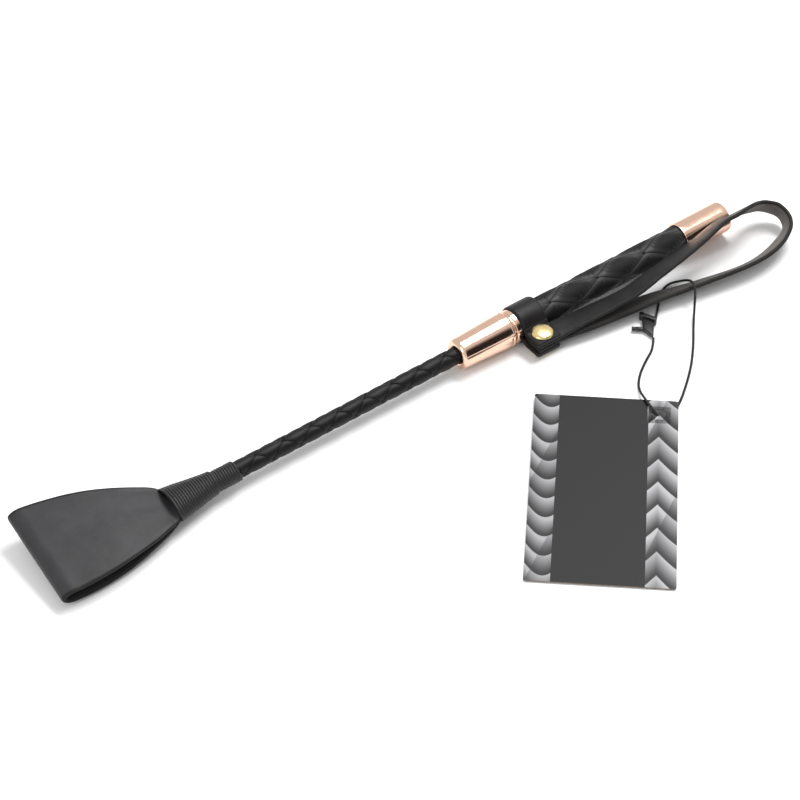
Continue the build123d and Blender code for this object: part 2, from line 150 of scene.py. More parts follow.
def flesh_side(name, dark, light):
    """The unfinished side of leather: matt, fibrous, a little uneven in colour."""
    mat, tree, shader = new_material(name)
    point = object_point(tree)
    cloud = node(tree, "ShaderNodeTexNoise", {"Scale": 0.22, "Detail": 5.0, "Roughness": 0.65})
    nap = node(tree, "ShaderNodeTexNoise", {"Scale": 6.5, "Detail": 4.0, "Roughness": 0.7})
    for texture in (cloud, nap):
        tree.links.new(point, texture.inputs["Vector"])
    split = node(tree, "ShaderNodeSeparateXYZ")
    tree.links.new(point, split.inputs["Vector"])
    # Painted shade: the side is darkened towards the rivet and left lighter towards the pommel, where light
    # falls on it.
    painted_shade = node(tree, "ShaderNodeMix", data_type="RGBA")
    painted_shade.inputs["A"].default_value = (*[c * 0.35 for c in dark], 1)
    tree.links.new(ramp(tree, split.outputs["X"], 0.0, 1.0, -45.0, 8.0), painted_shade.inputs["Factor"])
    tree.links.new(ramp(tree, cloud.outputs["Fac"], dark, light, 0.3, 0.7), painted_shade.inputs["B"])
    tree.links.new(painted_shade.outputs["Result"], shader.inputs["Base Color"])
    tree.links.new(ramp(tree, nap.outputs["Fac"], 0.62, 0.85, 0.3, 0.7), shader.inputs["Roughness"])
    bump(tree, shader, nap.outputs["Fac"], 0.6, 0.09)
    shader.inputs["Sheen Weight"].default_value = 0.12
    shader.inputs["Sheen Roughness"].default_value = 0.6
    return mat


def polished(name, colour, rough):
    """Plated metal, polished, with faint handling marks and a slight ripple."""
    mat, tree, shader = new_material(name)
    point = object_point(tree)
    smear = node(tree, "ShaderNodeTexNoise", {"Scale": 0.22, "Detail": 5.0, "Roughness": 0.65})
    tree.links.new(point, smear.inputs["Vector"])
    fine = node(tree, "ShaderNodeTexNoise", {"Scale": 5.0, "Detail": 2.0})
    tree.links.new(object_point(tree, (0.12, 1, 1)), fine.inputs["Vector"])
    shade = tuple(c * 0.94 for c in colour)
    wear = ramp(tree, smear.outputs["Fac"], rough * 0.75, rough * 1.35, 0.3, 0.7)
    tree.links.new(ramp(tree, smear.outputs["Fac"], shade, colour, 0.35, 0.65), shader.inputs["Base Color"])
    tree.links.new(wear, shader.inputs["Roughness"])
    bump(tree, shader, fine.outputs["Fac"], 0.12, 0.012)
    shader.inputs["Metallic"].default_value = 1.0
    return mat


def waxed_thread(name, dark, light, rough, twist):
    """Thread or cord: fine plies at a slant, a little wax on top."""
    mat, tree, shader = new_material(name)
    point = object_point(tree)
    plies = node(tree, "ShaderNodeTexWave", {"Scale": twist, "Distortion": 1.2, "Detail": 1.0})
    plies.bands_direction = "DIAGONAL"
    fuzz = node(tree, "ShaderNodeTexNoise", {"Scale": 7.0, "Detail": 3.0})
    for texture in (plies, fuzz):
        tree.links.new(point, texture.inputs["Vector"])
    tree.links.new(ramp(tree, fuzz.outputs["Fac"], dark, light, 0.3, 0.7), shader.inputs["Base Color"])
    wax = ramp(tree, fuzz.outputs["Fac"], rough - 0.07, rough + 0.1, 0.3, 0.7)
    tree.links.new(wax, shader.inputs["Roughness"])
    bump(tree, shader, plies.outputs["Fac"], 0.35, 0.06)
    bump(tree, shader, fuzz.outputs["Fac"], 0.4, 0.05)
    return mat


def moulded(name, colour, rough):
    mat, tree, shader = new_material(name)
    haze = node(tree, "ShaderNodeTexNoise", {"Scale": 3.0, "Detail": 3.0})
    tree.links.new(object_point(tree), haze.inputs["Vector"])
    shader.inputs["Base Color"].default_value = (*colour, 1)
    dull = ramp(tree, haze.outputs["Fac"], rough - 0.08, rough + 0.08, 0.3, 0.7)
    tree.links.new(dull, shader.inputs["Roughness"])
    bump(tree, shader, haze.outputs["Fac"], 0.25, 0.03)
    return mat


def card_material(name, colour, rough):
    mat, tree, shader = new_material(name)
    fibre = node(tree, "ShaderNodeTexNoise", {"Scale": 5.0, "Detail": 4.0})
    tree.links.new(object_point(tree), fibre.inputs["Vector"])
    pale = tuple(min(1, c * 1.25 + 0.004) for c in colour)
    tree.links.new(ramp(tree, fibre.outputs["Fac"], colour, pale, 0.3, 0.7), shader.inputs["Base Color"])
    dull = ramp(tree, fibre.outputs["Fac"], rough - 0.05, rough + 0.08, 0.3, 0.7)
    tree.links.new(dull, shader.inputs["Roughness"])
    bump(tree, shader, fibre.outputs["Fac"], 0.15, 0.02)
    shader.inputs["Specular IOR Level"].default_value = 0.25
    return mat


def chevron_material(name, turn, place, low, high, pitch, fan):
    """Silver-grey card with printed chevron plates, in rows that lap like roof tiles."""
    mat, tree, shader = new_material(name)
    point = object_point(tree, turn=turn, place=place)
    split = node(tree, "ShaderNodeSeparateXYZ")
    tree.links.new(point, split.inputs["Vector"])

    def maths(kind, a, b=None):
        made = node(tree, "ShaderNodeMath", operation=kind)
        for slot_number, value in enumerate((a, b)):
            if value is None:
                continue
            if hasattr(value, "default_value"):
                tree.links.new(value, made.inputs[slot_number])
            else:
                made.inputs[slot_number].default_value = value
        return made.outputs[0]

    across, down = split.outputs["X"], split.outputs["Y"]
    wave = maths("ABSOLUTE", maths("SINE", maths("MULTIPLY", across, fan)))
    bend = maths("MULTIPLY", wave, pitch * 0.9)
    rows = maths("FRACT", maths("MULTIPLY", maths("ADD", down, bend), 1 / pitch))
    slant = maths("SUBTRACT", across, maths("MULTIPLY", down, 0.35))
    ribs = maths("FRACT", maths("MULTIPLY", slant, 0.55 / pitch))
    shine = maths("ADD", maths("MULTIPLY", ribs, 0.5), 0.6)
    gloss = maths("MULTIPLY", maths("POWER", rows, 1.6), shine)
    tree.links.new(ramp(tree, gloss, low, high, 0.03, 0.8), shader.inputs["Base Color"])
    bump(tree, shader, rows, 0.05, 0.02)
    shader.inputs["Roughness"].default_value = 0.45
    shader.inputs["Specular IOR Level"].default_value = 0.3
    return mat


SHAFT_LEATHER = leather(
    "shaft_leather", (0.004, 0.004, 0.004), (0.009, 0.009, 0.009), (0.40, 0.52), 3.2, 0.03, 0.05
)
# The grip's second, lighter colour is painted sheen on the bends of the braid.
GRIP_LEATHER = crowned_leather(
    "grip_leather", (0.005, 0.005, 0.005), (0.026, 0.025, 0.025), 0.62, 0.42, 0.22
)
STRAP_LEATHER = leather(
    "strap_leather", (0.006, 0.006, 0.006), (0.013, 0.012, 0.012), (0.36, 0.48), 2.6, 0.04, 0.08
)
COLLAR_LEATHER = leather(
    "collar_leather", (0.006, 0.005, 0.005), (0.012, 0.011, 0.011), (0.36, 0.50), 2.6, 0.04, 0.08
)
KEEPER_LEATHER = leather(
    "keeper_leather", (0.026, 0.026, 0.028), (0.036, 0.036, 0.038), (0.38, 0.48), 2.8, 0.035, 0.06
)
EDGE_LEATHER = leather(
    "cut_edge_leather", (0.006, 0.006, 0.006), (0.016, 0.015, 0.014), (0.46, 0.62), 3.6, 0.06, 0.04
)
STRAP_FLESH = flesh_side("strap_flesh_side", (0.040, 0.033, 0.028), (0.095, 0.081, 0.070))
KEEPER_FLESH = flesh_side("keeper_flesh_side", (0.008, 0.008, 0.008), (0.020, 0.019, 0.018))
ROSE_GOLD = polished("rose_gold", (0.86, 0.58, 0.44), 0.12)
BRASS = polished("rivet_brass", (0.84, 0.66, 0.33), 0.22)
THREAD = waxed_thread("waxed_thread", (0.004, 0.004, 0.004), (0.009, 0.009, 0.009), 0.42, 2.2)
CORD = waxed_thread("string_cord", (0.002, 0.002, 0.002), (0.006, 0.006, 0.006), 0.60, 3.0)
PLASTIC = moulded("lock_plastic", (0.004, 0.004, 0.004), 0.32)
ROD = moulded("rod_resin", (0.55, 0.54, 0.48), 0.45)
TUBE = moulded("grip_tube_plastic", (0.03, 0.03, 0.03), 0.45)


# ---- mesh helpers -------------------------------------------------------------------------------
def mesh_object(name, points, faces, materials, face_slots=None, smooth=True):
    """A mesh piece from points in millimetres of the row frame."""
    mesh = bpy.data.meshes.new(name)
    mesh.from_pydata([[c * MM for c in p] for p in points], [], faces)
    for mat in materials:
        mesh.materials.append(mat)
    if face_slots:
        mesh.polygons.foreach_set("material_index", face_slots)
    mesh.polygons.foreach_set("use_smooth", [smooth] * len(mesh.polygons))
    mesh.update()
    piece = bpy.data.objects.new(name, mesh)
    bpy.context.scene.collection.objects.link(piece)
    return piece


def add_piece(piece, body, slot_name, *nodes):
    """Hides the CAD nodes the piece stands for and hangs it on the body it rides on; slot_name is not used.
    """
    if nodes:
        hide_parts(*nodes)
    if body:
        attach(piece, body)
    return piece


def tube_faces(rings, sides, first=0):
    """Faces of a closed tube whose rings of points follow one another from the first."""
    faces = []
    for i in range(rings - 1):
        for j in range(sides):
            k = (j + 1) % sides
            a = first + i * sides
            faces.append((a + j, a + k, a + sides + k, a + sides + j))
    faces.append(tuple(first + j for j in reversed(range(sides))))
    faces.append(tuple(first + (rings - 1) * sides + j for j in range(sides)))
    return faces


# Keeps the points of a turned end apart, in millimetres.
SMALLEST_RADIUS = 1e-3


def lathe(name, profile, origin, axis, sides, mat):
    """A turned piece: profile is (distance along the axis, radius), from one end to the other."""
    axis = Vector(axis).normalized()
    side = axis.orthogonal().normalized()
    up = axis.cross(side)
    origin = Vector(origin)
    points = []
    for along, radius in profile:
        for j in range(sides):
            t = 2 * math.pi * j / sides
            out = side * math.cos(t) + up * math.sin(t)
            points.append(origin + axis * along + out * max(radius, SMALLEST_RADIUS))
    return mesh_object(name, points, tube_faces(len(profile), sides), [mat])


def smooth_line(stations, steps):
    """A Catmull-Rom line through stations of any length, with steps per run."""
    out = []
    last = len(stations) - 1
    for i in range(last):
        a = stations[max(i - 1, 0)]
        b = stations[i]
        c = stations[i + 1]
        d = stations[min(i + 2, last)]
        for k in range(steps):
            t = k / steps
            place = []
            for p, q, r, s in zip(a, b, c, d):
                square = (2 * p - 5 * q + 4 * r - s) * t * t
                cube = (3 * q - p - 3 * r + s) * t**3
                place.append(0.5 * (2 * q + (r - p) * t + square + cube))
            out.append(tuple(place))
    out.append(tuple(stations[-1]))
    return out


# The strap's section, as shares of half the width and half the thickness: flat faces, a crease
# beside each edge and rounded edges. The third value is 0 for grain, 1 for edge and 2 for flesh.
STRIP_SECTION = (
    (-0.86, 1.0, 0), (-0.80, 0.93, 0), (-0.72, 1.0, 0), (-0.36, 1.02, 0), (0.0, 1.03, 0), (0.36, 1.02, 0),
    (0.72, 1.0, 0), (0.80, 0.93, 0), (0.86, 1.0, 1), (0.95, 0.80, 1), (1.0, 0.35, 1), (1.0, -0.35, 1),
    (0.95, -0.80, 1), (0.86, -1.0, 2), (0.45, -1.0, 2), (0.0, -1.0, 2), (-0.45, -1.0, 2), (-0.86, -1.0, 1),
    (-0.95, -0.80, 1), (-1.0, -0.35, 1), (-1.0, 0.35, 1), (-0.95, 0.80, 1),
)
# How much narrower a strip's cut ends are, in thicknesses.
END_TAPER = 0.4


def leather_strip(name, middles, widths_out, normals, width, thickness, materials):
    """A leather strip along middles. widths_out point across it and normals out of its grain side."""
    sides = len(STRIP_SECTION)
    points = []
    for i, (middle, wide, normal) in enumerate(zip(middles, widths_out, normals)):
        trim = 1.0
        if i in (0, len(middles) - 1):
            trim = 1 - END_TAPER * thickness / width
        for share, high, _ in STRIP_SECTION:
            points.append(middle + wide * (share * width / 2 * trim) + normal * (high * thickness / 2))
    faces = tube_faces(len(middles), sides)
    slots = [section[2] for section in STRIP_SECTION] * (len(middles) - 1) + [1, 1]
    return mesh_object(name, points, faces, materials, slots)


# ---- braids -------------------------------------------------------------------------------------
# How much of a cell its flat, matt crown covers.
CROWN_SHARE = 0.37
# How much of its cell a strip covers, and of its layer's depth it fills.
STRIP_COVER = 0.95
STRIP_SHARE = 0.94
# How sharply a strip goes from over to under, and how far it wanders, in millimetres.
WEAVE_SHARPNESS = 2.1
STRIP_WANDER = 0.035


def ease(t):
    t = max(0.0, min(1.0, t))
    return t * t * (3 - 2 * t)


def braid(prefix, x_start, x_end, core, top, lead, strips, phase, shift, mat, steps_per_cell):
    """Flat strips wound both ways that pass over and under each other, one piece for each strip."""
    thick = (top - core) / 2 * STRIP_SHARE
    lift = (top - core) / 2 - thick / 2
    middle = (top + core) / 2
    cells = 2 * strips * (x_end - x_start) / lead
    rings = int(cells * steps_per_cell)
    shares = [-1, -0.94, -0.80, -0.55, -0.25, 0, 0.25, 0.55, 0.80, 0.94, 1]
    number = 1
    for hand in (1, -1):
        for i in range(strips):
            points, crowns = [], []
            for r in range(rings + 1):
                x = x_start + (x_end - x_start) * r / rings
                place = 2 * strips * (x - shift) / lead
                turn = phase + 2 * math.pi * i / strips + hand * 2 * math.pi * (x - shift) / lead
                ring = []
                for share in shares:
                    across_cell = share * 0.5 * STRIP_COVER
                    weave = hand * math.cos(math.pi * (across_cell + hand * place))
                    weave = math.tanh(WEAVE_SHARPNESS * weave) / math.tanh(WEAVE_SHARPNESS)
                    edge = 1 - abs(share) ** 6
                    spot = Vector((x * 0.13, i * 3.1 + hand, share * 0.6))
                    wander = STRIP_WANDER * noise.noise(spot)
                    angle = turn + across_cell * 2 * math.pi / strips
                    centre = middle + lift * weave
                    along = across_cell + hand * place
                    off = along - round(along)
                    outline = (abs(across_cell) / CROWN_SHARE) ** 5 + (abs(off) / CROWN_SHARE) ** 5
                    crowns.append(1 - ease((outline - 0.75) / 0.6))
                    outer = centre + thick / 2 * (0.25 + 0.75 * edge) + wander
                    ring.append((x, angle, outer, centre - thick / 2))
                for x_at, angle, outer, inner in ring:
                    points.append((x_at, outer * math.cos(angle), outer * math.sin(angle)))
                for x_at, angle, outer, inner in reversed(ring):
                    points.append((x_at, inner * math.cos(angle), inner * math.sin(angle)))
                    crowns.append(0.0)
            faces = tube_faces(rings + 1, 2 * len(shares))
            piece = mesh_object(f"{prefix}_braided_{number}", points, faces, [mat])
            crown = piece.data.attributes.new("crown", "FLOAT", "POINT")
            crown.data.foreach_set("value", crowns)
            add_piece(piece, "handle", "braid_leather", f"{prefix}_{number}")
            number += 1


braid("shaft_strip", -254.0, -122.8, 1.95, 3.42, lead=24.0, strips=2, phase=math.radians(89),
      shift=-130.0, mat=SHAFT_LEATHER, steps_per_cell=12)
braid("grip_strip", -112.0, -2.6, 4.05, 5.66, lead=69.0, strips=3, phase=math.radians(116),
      shift=-53.1, mat=GRIP_LEATHER, steps_per_cell=22)


# ---- metal caps ---------------------------------------------------------------------------------
def arc(centre, radius, start, stop, steps):
    """Points of a profile's rounded edge, by angle in degrees from the axis."""
    out = []
    for k in range(steps + 1):
        a = math.radians(start + (stop - start) * k / steps)
        out.append((centre[0] + radius * math.cos(a), centre[1] + radius * math.sin(a)))
    return out


def ferrule_shell():
    profile = [(8.0, 3.4), (1.0, 3.4)] + arc((0.9, 3.9), 0.5, 270, 180, 4)
    profile += [(0.25, 4.3)] + arc((2.0, 4.25), 1.8, 170, 96, 10)
    taper = 21
    for k in range(taper + 1):
        t = k / taper
        profile.append((2.4 + 19.6 * t, 6.07 + 0.86 * t))
    profile += arc((23.0, 6.15), 0.85, 130, 20, 8)
    profile += [(24.05, 6.28), (24.3, 6.22), (24.6, 6.22)] + arc((25.05, 6.22), 0.32, 175, 100, 4)
    profile += [(26.5, 6.54)] + arc((26.7, 6.24), 0.3, 80, 0, 4) + [(27.0, 5.7), (18.0, 5.7)]
    return lathe("ferrule_shell", profile, (-130.5, 0, 0), (1, 0, 0), 96, ROSE_GOLD)


def pommel_shell():
    profile = [(3.0, 5.68), (0.02, 5.68), (0.0, 5.75)] + arc((0.25, 6.12), 0.25, 180, 90, 4)
    profile += [(1.0 + 1.2 * k, 6.37) for k in range(17)]
    profile += arc((21.35, 5.22), 1.15, 86, 0, 12)
    profile += [(22.5, 4.6), (22.5, 2.5), (22.5, 0.0)]
    return lathe("pommel_shell", profile, (-22.5, 0, 0), (1, 0, 0), 96, ROSE_GOLD)


add_piece(ferrule_shell(), "handle", "rose_gold", "ferrule")
add_piece(pommel_shell(), "handle", "rose_gold", "pommel_cap")
for name, mat in (("core_rod", ROD), ("grip_core", TUBE)):
    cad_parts[name].data.materials.clear()
    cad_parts[name].data.materials.append(mat)

# ---- whipping: one waxed thread, wound flat and wide over the keeper and then round ------------
WHIP_START, WHIP_STEP, WHIP_END = -256.5, -238.0, -227.5
THREAD_RADIUS = 0.56
TURN_PITCH = 1.04


def whipping_form(x):
    """Half width and half height of the whipping at x."""
    if x >= WHIP_STEP:
        return 4.1, 4.1
    t = (WHIP_STEP - x) / (WHIP_STEP - WHIP_START)
    spread = ease(t) * 0.35 + t * 0.65
    return 4.6 + 3.5 * spread, 4.6 + 0.7 * spread


def whipping_thread():
    """One round thread, wound on whipping_form from the keeper's neck to the shaft."""
    around = 56
    turns = (WHIP_END - WHIP_START - 2 * THREAD_RADIUS) / TURN_PITCH
    count = int(turns * around)
    line = []
    for k in range(count + 1):
        turn_number = k / around
        angle = 2 * math.pi * turn_number
        # Each turn lies flat for most of the way and steps across to the next on the -Y side.
        part = turn_number % 1.0
        step = ease((part - 0.40) / 0.22)
        x = WHIP_START + THREAD_RADIUS + (int(turn_number) + step) * TURN_PITCH
        wide, high = whipping_form(x)
        spot = Vector((x * 0.8, math.cos(angle) * 1.5, math.sin(angle) * 1.5))
        uneven = 0.16 * noise.noise(spot)
        lump_size = 0.4 + 0.6 * noise.noise(Vector((x * 1.7, 2.0, 0.3))) ** 2
        lump = 0.30 * math.exp(-((part - 0.51) / 0.06) ** 2) * lump_size
        shrink = THREAD_RADIUS - uneven * 0.6 - lump
        line.append(Vector((x, (wide - shrink) * math.cos(angle), (high - shrink) * math.sin(angle))))
    sides = 8
    points = []
    for k, middle in enumerate(line):
        ahead = (line[min(k + 1, count)] - line[max(k - 1, 0)]).normalized()
        out = Vector((0, middle.y, middle.z)).normalized()
        out = (out - ahead * out.dot(ahead)).normalized()
        side = ahead.cross(out)
        for j in range(sides):
            t = 2 * math.pi * j / sides
            points.append(middle + (out * math.cos(t) + side * math.sin(t)) * THREAD_RADIUS)
    return mesh_object("whipping_thread", points, tube_faces(count + 1, sides), [THREAD])


add_piece(whipping_thread(), "handle", "waxed_thread", "whipping")

# ---- keeper: one strip folded at the tip, its tails run in under the whipping ------------------
KEEPER_YAW, KEEPER_PITCH, KEEPER_ROLL = (math.radians(a) for a in (7.0, -1.1, 9.2))
KEEPER_START = -258.4
KEEPER_LENGTH = 47.8
KEEPER_THICK = 1.2
NECK_HALF, TIP_HALF = 7.4, 19.7
TIP_SKEW = 2.7
TAIL = 14.0
keeper_out = Vector(
    (
        -math.cos(KEEPER_YAW) * math.cos(KEEPER_PITCH),
        math.sin(KEEPER_YAW),
        -math.sin(KEEPER_PITCH),
    )
).normalized()
keeper_level = keeper_out.cross(Vector((0, 0, 1))).normalized()
keeper_upright = keeper_level.cross(keeper_out)
keeper_normal = keeper_upright * math.cos(KEEPER_ROLL) - keeper_level * math.sin(KEEPER_ROLL)
keeper_side = keeper_normal.cross(keeper_out).normalized()


def keeper_half_width(u):
    if u <= -2.2:
        return NECK_HALF - 1.6 * ease((-2.2 - u) / 6)
    t = (u + 2.2) / (KEEPER_LENGTH + 2.2)
    return NECK_HALF + (TIP_HALF - NECK_HALF) * math.sin(math.pi / 2 * min(1.0, t * 1.04)) ** 0.84


def keeper_strip():
    half = KEEPER_THICK / 2
    reach = KEEPER_LENGTH - half
    flat_end = reach - 4.6
    upper = []
    steps = 74
    for k in range(steps + 1):
        u = -TAIL + (flat_end + TAIL) * k / steps
        swell = ease((u + 1) / 24) * (1 - 0.16 * ease((u - 24) / 22))
        v = half + 0.15 + 0.55 * ease((u + 3) / 6) + (3.35 - half - 0.7) * swell
        upper.append((u, v))
    start_v = upper[-1][1]
    turns = 14
    for k in range(1, turns):
        a = math.pi / 2 * k / turns
        upper.append((flat_end + (reach - flat_end) * math.sin(a), start_v * math.cos(a) ** 0.92))
    path = upper + [(reach, 0.0)] + [(u, -v) for u, v in reversed(upper)]
    count = len(path)
    shares = [-1, -0.985, -0.95, -0.9, -0.75, -0.5, -0.25, 0, 0.25, 0.5, 0.75, 0.9, 0.95, 0.985, 1]
    outer, inner = [], []
    for i, (u, v) in enumerate(path):
        a = Vector(path[max(i - 1, 0)])
        b = Vector(path[min(i + 1, count - 1)])
        heading = (b - a).normalized()
        face = Vector((heading.y, -heading.x))
        if i < count / 2 and face.y < 0 or i > count / 2 and face.y > 0:
            face = -face
        if face.length == 0 or abs(v) < 1e-6:
            face = Vector((1, 0))
        for share in shares:
            wide = keeper_half_width(u)
            # The edges are rounded over and the leaves cup a little towards them.
            rounding = 1 - 0.45 * max(0.0, (abs(share) - 0.95) / 0.05) ** 2
            leaf = 1 if v >= 0 else -1
            cup = -0.25 * ease((abs(share) - 0.55) / 0.45) * ease(u / 14) * leaf * ease(abs(v) / 2)
            crease = 0.0
            if -2 < u < 16:
                nearness = ease((u + 2) / 3) * ease((16 - u) / 10)
                crease = 0.22 * nearness * math.sin(share * 9.5 + 0.05 * u * share) * leaf
            spot = Vector((u * 0.09, share * 1.3, 1.7 if v >= 0 else 5.1))
            wave = 0.22 * noise.noise(spot) * ease(u / 10)
            place = (u, v + cup + (crease + wave) * ease(abs(v) / 1.5), share * wide)
            for side, rows in ((1, outer), (-1, inner)):
                off = half * rounding * side
                if u <= 0:
                    off = off * 0.8
                rows.append((place[0] + face.x * off, place[1] + face.y * off, place[2]))
    across = len(shares)
    points = []
    for i in range(count):
        points += outer[i * across:(i + 1) * across]
        points += reversed(inner[i * across:(i + 1) * across])
    origin = Vector((KEEPER_START, 0, 0))
    world = []
    for u, v, w in points:
        if u <= 0:
            straight = Vector((KEEPER_START - u, -w * 0.98, v * 0.9))
            bent = origin + keeper_out * u + keeper_normal * v + keeper_side * w
            world.append(bent.lerp(straight, ease((-u - 0.6) / 3.5)))
        else:
            # The tip's edge is cut less askew than the keeper lies, so its far side runs on further.
            far = (1 - w / TIP_HALF) / 2
            reach_on = TIP_SKEW * far * ease(u / KEEPER_LENGTH)
            world.append(origin + keeper_out * (u + reach_on) + keeper_normal * v + keeper_side * w)
    faces = tube_faces(count, 2 * across)
    # Round the strip: cut edge, grain side, cut edge, flesh side.
    edges = (0, 1, across - 3, across - 2, across - 1, across, 2 * across - 2, 2 * across - 1)
    ring_slots = [1 if j in edges else 0 if j < across else 2 for j in range(2 * across)]
    slots = ring_slots * (count - 1) + [1, 1]
    return mesh_object("keeper_strip", world, faces, [KEEPER_LEATHER, EDGE_LEATHER, KEEPER_FLESH], slots)


keeper = keeper_strip()
add_piece(keeper, None, "keeper_leather", "keeper_flap", "keeper_tails")
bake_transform(keeper)

# ---- collar: a band round the grip, pinched into a tab -----------------------------------------
COLLAR_START = -103.4
COLLAR_WIDTH = 11.0
COLLAR_X = COLLAR_START + COLLAR_WIDTH / 2
LEATHER = 1.6
BAND_MIDDLE = 6.5
TAB_TIP = -15.1
UPPER_LEAF_Z, LOWER_LEAF_Z = 0.6, -4.5


def collar_band():
    """The band's line in Y and Z: along the tab's upper leaf, round the grip and back below."""
    stations = [(TAB_TIP, UPPER_LEAF_Z), (-12.5, UPPER_LEAF_Z), (-9.9, UPPER_LEAF_Z + 0.02)]
    stations += [(-7.9, 0.85), (-6.75, 1.9)]
    start, stop = math.radians(157), math.radians(-149)
    turns = 26
    for k in range(turns + 1):
        a = start + (stop - start) * k / turns
        stations.append((BAND_MIDDLE * math.cos(a), BAND_MIDDLE * math.sin(a)))
    stations += [(-7.0, LOWER_LEAF_Z + 0.35), (-9.0, LOWER_LEAF_Z), (-12.5, LOWER_LEAF_Z)]
    stations += [(TAB_TIP, LOWER_LEAF_Z)]
    line = smooth_line(stations, 4)
    middles, sides, normals = [], [], []
    across = Vector((1, 0, 0))
    for i, (y, z) in enumerate(line):
        a = line[max(i - 1, 0)]
        b = line[min(i + 1, len(line) - 1)]
        heading = Vector((0, b[0] - a[0], b[1] - a[1])).normalized()
        middles.append(Vector((COLLAR_X, y, z)))
        sides.append(across)
        normals.append(across.cross(heading).normalized())
    if normals[0].z < 0:
        normals = [-n for n in normals]
    return leather_strip("collar_band", middles, sides, normals, COLLAR_WIDTH, LEATHER,
                         [COLLAR_LEATHER, EDGE_LEATHER, EDGE_LEATHER])


add_piece(collar_band(), "collar", "collar_leather", "strap_collar")

# ---- rivet --------------------------------------------------------------------------------------
RIVET_Y = -10.52
RIVET_RADIUS = 4.3
TAB_TOP, TAB_BOTTOM = 1.4, -5.3


def rivet_dome():
    profile = [(0.0, 1.7), (0.0, RIVET_RADIUS - 0.25), (0.08, RIVET_RADIUS - 0.05), (0.22, RIVET_RADIUS)]
    profile += [(0.36, RIVET_RADIUS - 0.06)]
    for k in range(1, 15):
        a = math.pi / 2 * k / 14
        profile.append((0.36 + 1.14 * math.sin(a) ** 0.9, (RIVET_RADIUS - 0.1) * math.cos(a) ** 0.85))
    return lathe("rivet_dome", profile, (COLLAR_X, RIVET_Y, TAB_TOP), (0, 0, 1), 64, BRASS)


def rivet_back():
    profile = [(0.0, 1.1), (0.0, RIVET_RADIUS - 0.2), (0.15, RIVET_RADIUS), (0.4, RIVET_RADIUS)]
    profile += [(0.75, RIVET_RADIUS - 0.35), (0.95, RIVET_RADIUS - 1.0)]
    profile += [(1.0, RIVET_RADIUS - 2.2), (1.0, 0.0)]
    return lathe("rivet_back", profile, (COLLAR_X, RIVET_Y, TAB_BOTTOM), (0, 0, -1), 64, BRASS)


add_piece(rivet_dome(), "collar", "rivet_brass", "rivet_cap")
add_piece(rivet_back(), "collar", "rivet_brass", "rivet_post")

# ---- wrist strap --------------------------------------------------------------------------------
STRAP_WIDTH = 9.2
UPPER_STRAP_Z, LOWER_STRAP_Z = -1.1, -2.8
STRAP_STATIONS = [
    (COLLAR_X - 4.4, RIVET_Y, UPPER_STRAP_Z, 0),
    (COLLAR_X, RIVET_Y, UPPER_STRAP_Z, 0),
    (COLLAR_X + 8, RIVET_Y - 0.1, UPPER_STRAP_Z, 0),
    (-81, -11.5, -0.4, 8),
    (-60, -14.0, 2.0, 19),
    (-46, -13.5, 4.4, 24),
    (-32, -12.7, 6.3, 31),
    (-22, -11.7, 7.6, 37),
    (-10.5, -9.6, 8.5, 42),
    (-3.5, -9.3, 8.2, 44),
    (3.5, -7.8, 6.5, 49),
    (10.5, -6.3, 3.5, 57),
    (15.6, -7.0, 2.0, 62),
    (19.7, -10.8, 0.5, 73),
    (19.3, -16.0, -0.7, 92),
    (15.8, -20.0, -1.3, 116),
    (10.5, -22.7, -1.8, 129),
    (4.5, -24.6, -2.1, 134),
    (-2.5, -25.5, -2.4, 135),
    (-10, -25.2, -2.7, 136),
    (-18, -23.9, -2.9, 138),
    (-27, -22.1, -3.1, 142),
    (-37, -20.1, -3.2, 147),
    (-48, -17.6, -3.2, 155),
    (-63, -15.4, -3.2, 163),
    (-78, -13.1, -3.1, 171),
    (COLLAR_X + 8, RIVET_Y - 0.1, LOWER_STRAP_Z, 180),
    (COLLAR_X, RIVET_Y, LOWER_STRAP_Z, 180),
    (COLLAR_X - 4.4, RIVET_Y, LOWER_STRAP_Z, 180),
]


def wrist_strap():
    line = smooth_line(STRAP_STATIONS, 10)
    middles, sides, normals = [], [], []
    for i, (x, y, z, lean) in enumerate(line):
        a = Vector(line[max(i - 1, 0)][:3])
        b = Vector(line[min(i + 1, len(line) - 1)][:3])
        heading = (b - a).normalized()
        level = heading.cross(Vector((0, 0, 1))).normalized()
        upright = level.cross(heading)
        lean = math.radians(lean)
        wide = level * math.cos(lean) + upright * math.sin(lean)
        middles.append(Vector((x, y, z)))
        sides.append(wide)
        normals.append(wide.cross(heading).normalized())
    return leather_strip("wrist_strap_leather", middles, sides, normals, STRAP_WIDTH, LEATHER,
                         [STRAP_LEATHER, EDGE_LEATHER, STRAP_FLESH])


add_piece(wrist_strap(), "strap", "strap_leather", "wrist_strap")

# ---- hang tag -----------------------------------------------------------------------------------
TAG_WIDTH, TAG_HEIGHT, TAG_THICK = 52.5, 90.0, 0.45
TAG_HOLE = Vector((-86.3, -64.2, -6.1))
TAG_HOLE_RADIUS = 2.4
TAG_TURN = math.radians(-41.3)
TAG_LIFT = math.radians(0.6)
LEFT_BAND, RIGHT_BAND = 9.2, 10.8
tag_across = Vector((math.cos(TAG_TURN), math.sin(TAG_TURN), 0))
tag_level_down = Vector((math.sin(TAG_TURN), -math.cos(TAG_TURN), 0))
tag_normal = (Vector((0, 0, 1)) + tag_level_down * math.sin(TAG_LIFT)).normalized()
tag_down = tag_across.cross(tag_normal).normalized()
if tag_down.dot(tag_level_down) < 0:
    tag_down = -tag_down


